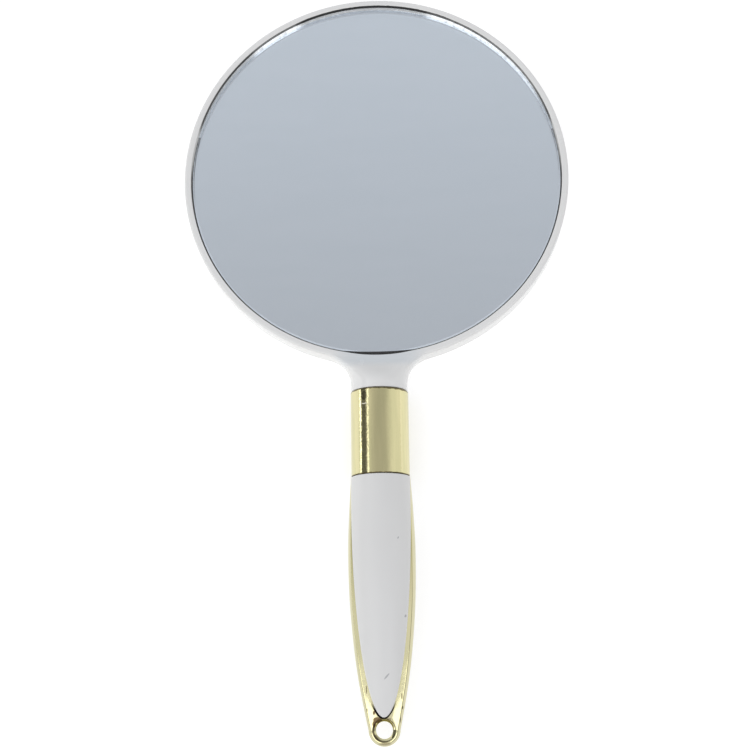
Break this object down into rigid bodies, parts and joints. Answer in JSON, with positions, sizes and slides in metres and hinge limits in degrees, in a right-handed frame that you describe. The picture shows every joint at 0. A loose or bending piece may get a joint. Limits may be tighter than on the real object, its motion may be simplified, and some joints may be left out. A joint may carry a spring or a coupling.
{
  "type": "hand mirror",
  "caption": "Round salon hand mirror: recessed bevelled glass in a slim white rim, gold collar, and a gold handle with leaf-shaped white grips and a hang hole.",
  "frame": {"origin": "on the table that the mirror lies on, under the middle of its whole length and width", "axes": "+Y along the handle towards the head, +Z out of the glass, away from the table, +X to the right"},
  "size_m": [0.1295, 0.2512, 0.0193],
  "materials": {
    "white_plastic": "polished moulded white",
    "grip_white": "polished moulded white, a shade cooler than the head",
    "gold_plating": "pale gold vacuum plating on moulded plastic, mirror bright",
    "clear_glass": "clear float glass, edge ground to a small bevel",
    "silvering": "silvered",
    "backing_paint": "grey protective paint",
    "foam_tape": "closed-cell foam tape, sticky both sides",
    "screw_steel": "zinc plated"
  },
  "bodies": {
    "root": {"head_frame": "white_plastic", "head_back_cover": "white_plastic", "mirror_glass": "clear_glass", "mirror_silvering": "silvering", "mirror_backing_paint": "backing_paint", "foam_tape_ring": "foam_tape", "foam_tape_pads": "foam_tape", "collar": "gold_plating", "handle_core": "gold_plating", "front_grip_panel": "grip_white", "back_grip_panel": "grip_white", "tang_screws": "screw_steel"}
  },
  "joints": []
}
